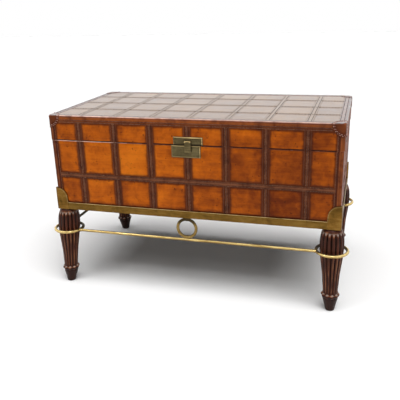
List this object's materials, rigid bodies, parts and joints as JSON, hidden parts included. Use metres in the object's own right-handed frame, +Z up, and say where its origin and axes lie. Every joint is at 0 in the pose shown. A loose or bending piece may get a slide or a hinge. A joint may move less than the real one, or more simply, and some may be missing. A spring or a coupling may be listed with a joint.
{
  "type": "leather trunk on stand",
  "caption": "Rectangular leather covered trunk with strapped panels, hinged lid and latch, on an angle rail with turned legs, wire hoops and rods.",
  "frame": {"origin": "on the floor under the middle of the whole object", "axes": "+Z up, +X along the length of the trunk, -Y towards the front with the latch"},
  "size_m": [0.9784, 0.5452, 0.578],
  "materials": {
    "leg_wood": "dark red-brown, satin polish",
    "rail_brass": "antique brass, worn satin",
    "plate_brass": "antique brass, worn satin",
    "rod_brass": "polished brass",
    "steel": "plain zinc-grey steel",
    "board_wood": "plain unfinished board",
    "panel_leather": "mottled tan leather, low sheen",
    "lining_cloth": "plain woven cloth",
    "strap_leather": "dark purple-brown leather, stitched",
    "binding_leather": "dark red-brown leather, stitched",
    "latch_brass": "dark olive brass with bright worn edges",
    "hinge_brass": "satin brass"
  },
  "bodies": {
    "stand_and_body": {"leg_front_left": "leg_wood", "leg_front_right": "leg_wood", "leg_back_left": "leg_wood", "leg_back_right": "leg_wood", "rail_front": "rail_brass", "rail_back": "rail_brass", "rail_left": "rail_brass", "rail_right": "rail_brass", "corner_plate_front_left": "plate_brass", "corner_plate_front_right": "plate_brass", "corner_plate_back_left": "plate_brass", "corner_plate_back_right": "plate_brass", "hoop_front_left": "rod_brass", "hoop_front_right": "rod_brass", "hoop_back_left": "rod_brass", "hoop_back_right": "rod_brass", "rod_front": "rod_brass", "rod_back": "rod_brass", "rod_left": "rod_brass", "rod_right": "rod_brass", "ring_front": "rod_brass", "ring_back": "rod_brass", "leg_bolts": "steel", "leg_nuts": "steel", "body_board_bottom": "board_wood", "body_board_front": "board_wood", "body_board_back": "board_wood", "body_board_left": "board_wood", "body_board_right": "board_wood", "body_leather": "panel_leather", "body_corner_bindings": "binding_leather", "body_straps_upright": "strap_leather", "body_strap_girth": "strap_leather", "body_lining": "lining_cloth", "latch_plate_body": "latch_brass", "latch_nails_body": "latch_brass", "hinge_left_body_leaf": "hinge_brass", "hinge_right_body_leaf": "hinge_brass", "hinge_pins": "steel", "hinge_screws_body": "hinge_brass"},
    "lid": {"lid_board_top": "board_wood", "lid_board_front": "board_wood", "lid_board_back": "board_wood", "lid_board_left": "board_wood", "lid_board_right": "board_wood", "lid_leather": "panel_leather", "lid_rim_band": "binding_leather", "lid_caps_front": "binding_leather", "lid_caps_back": "binding_leather", "lid_straps_wall": "strap_leather", "lid_straps_across": "strap_leather", "lid_straps_lengthwise": "strap_leather", "lid_lining": "lining_cloth", "hinge_left_lid_leaf": "hinge_brass", "hinge_right_lid_leaf": "hinge_brass", "hinge_screws_lid": "hinge_brass", "latch_plate_lid": "latch_brass", "latch_pin": "latch_brass", "latch_nails_lid": "latch_brass"},
    "tongue": {"latch_tongue": "latch_brass"}
  },
  "joints": [
    {"name": "lid_hinge", "type": "hinge", "parent": "stand_and_body", "child": "lid", "pos_m": [0, 0.241, 0.499], "axis": [-1, 0, 0], "range_deg": [0, 99]},
    {"name": "tongue_hinge", "type": "hinge", "parent": "lid", "child": "tongue", "pos_m": [0.003, -0.2431, 0.5103], "axis": [-1, 0, 0], "range_deg": [0, 170]}
  ]
}
